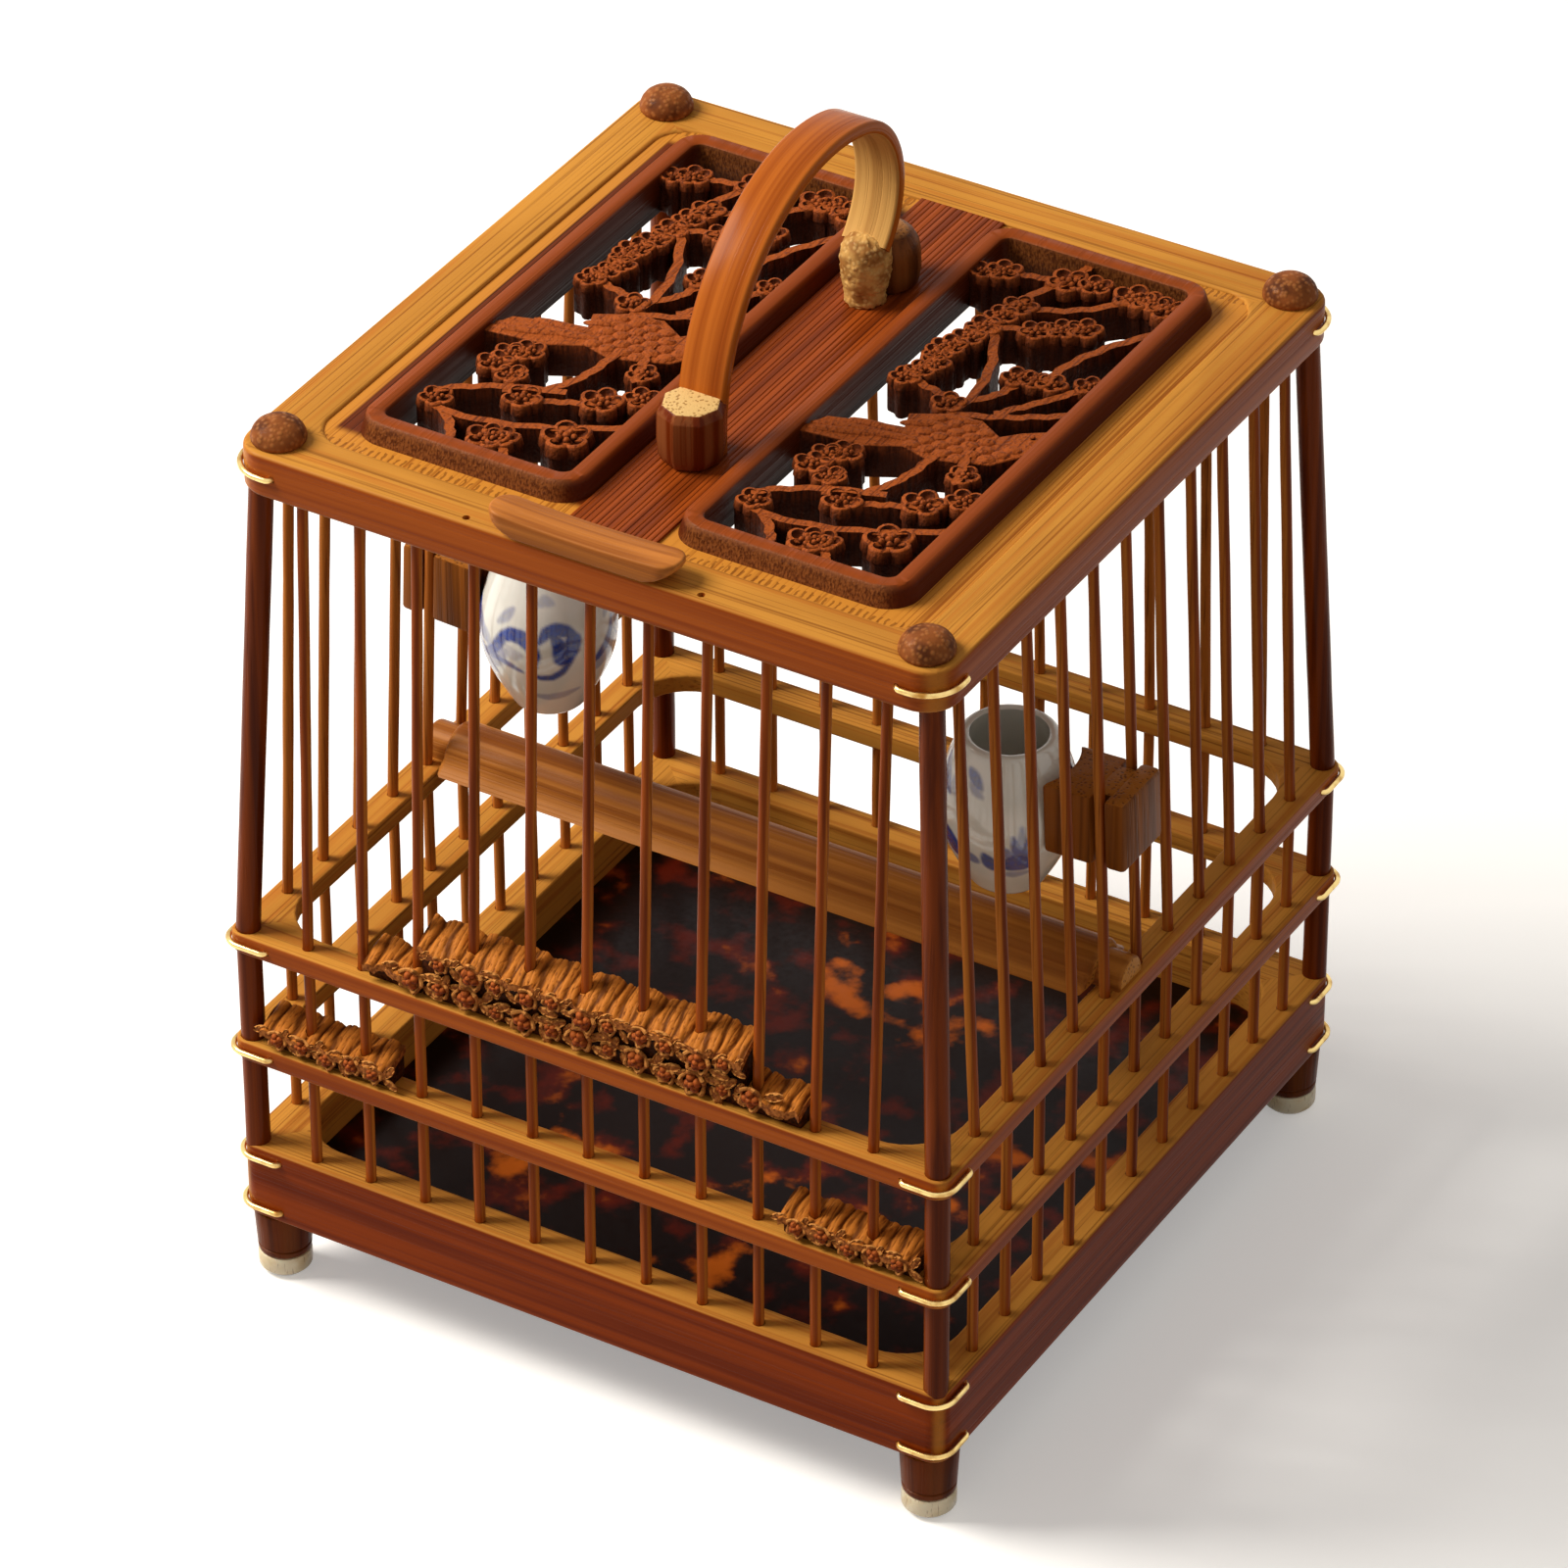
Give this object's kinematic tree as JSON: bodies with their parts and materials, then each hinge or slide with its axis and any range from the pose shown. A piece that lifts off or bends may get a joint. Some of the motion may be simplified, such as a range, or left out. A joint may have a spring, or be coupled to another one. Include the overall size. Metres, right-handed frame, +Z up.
{
  "type": "cricket cage",
  "caption": "Small square bamboo cage for singing insects, with a lifting barred door, carved pierced lid, bent carrying handle and sliding porcelain feed cups.",
  "frame": {"origin": "middle of the cage in plan, on the surface that the bone feet stand on", "axes": "+Z up, -Y out of the front face with the door, +X to the right seen from the front"},
  "size_m": [0.106, 0.106, 0.1564],
  "materials": {
    "bamboo_rails": "oiled bamboo, satin",
    "bamboo_skin": "polished bamboo skin",
    "bamboo_bars": "drawn bamboo splints, satin",
    "carved_panel": "carved bamboo, waxed",
    "carved_crest": "carved bamboo, waxed",
    "brass_wire": "drawn wire, bright",
    "bone": "polished bone",
    "porcelain": "clear glaze over underglaze blue",
    "tortoiseshell": "polished tortoiseshell pattern"
  },
  "bodies": {
    "cage": {"floor_board": "tortoiseshell", "leg_front_right": "bamboo_skin", "corner_post_front_right": "bamboo_bars", "leg_back_right": "bamboo_skin", "corner_post_back_right": "bamboo_bars", "leg_back_left": "bamboo_skin", "corner_post_back_left": "bamboo_bars", "leg_front_left": "bamboo_skin", "corner_post_front_left": "bamboo_bars", "base_rail_front": "bamboo_rails", "lower_rail_front": "bamboo_rails", "middle_rail_front": "bamboo_rails", "top_rail_front": "bamboo_rails", "base_rail_right": "bamboo_rails", "lower_rail_right": "bamboo_rails", "middle_rail_right": "bamboo_rails", "top_rail_right": "bamboo_rails", "base_rail_back": "bamboo_rails", "lower_rail_back": "bamboo_rails", "middle_rail_back": "bamboo_rails", "top_rail_back": "bamboo_rails", "base_rail_left": "bamboo_rails", "lower_rail_left": "bamboo_rails", "middle_rail_left": "bamboo_rails", "top_rail_left": "bamboo_rails", "foot_tips": "bone", "corner_finials": "bamboo_skin", "front_bars_left": "bamboo_bars", "front_bars_right": "bamboo_bars", "sill_bars": "bamboo_bars", "right_bars": "bamboo_bars", "back_bars": "bamboo_bars", "left_bars": "bamboo_bars", "base_lower_wires": "brass_wire", "base_upper_wires": "brass_wire", "lower_wires": "brass_wire", "middle_wires": "brass_wire", "top_wires": "brass_wire", "centre_bar": "bamboo_skin", "carved_panel_left": "carved_panel", "carved_panel_right": "carved_panel", "handle": "bamboo_skin", "handle_pegs": "bamboo_rails", "front_crest": "carved_crest", "corner_crest_left": "carved_crest", "corner_crest_right": "carved_crest", "perch": "bamboo_rails"},
    "door": {"door_pull": "bamboo_rails", "door_bars": "bamboo_bars"},
    "feeder_left": {"feed_cup_left": "porcelain", "cup_holder_left": "bamboo_rails"},
    "feeder_right": {"feed_cup_right": "porcelain", "cup_holder_right": "bamboo_rails"}
  },
  "joints": [
    {"name": "door_lift", "type": "slide", "parent": "cage", "child": "door", "axis": [0, 0.0454, 0.999], "range_m": [0, 0.06]},
    {"name": "feeder_left_slide", "type": "slide", "parent": "cage", "child": "feeder_left", "axis": [0.0454, 0, 0.999], "range_m": [-0.008, 0.026]},
    {"name": "feeder_right_slide", "type": "slide", "parent": "cage", "child": "feeder_right", "axis": [-0.0454, 0, 0.999], "range_m": [-0.004, 0.03]}
  ]
}
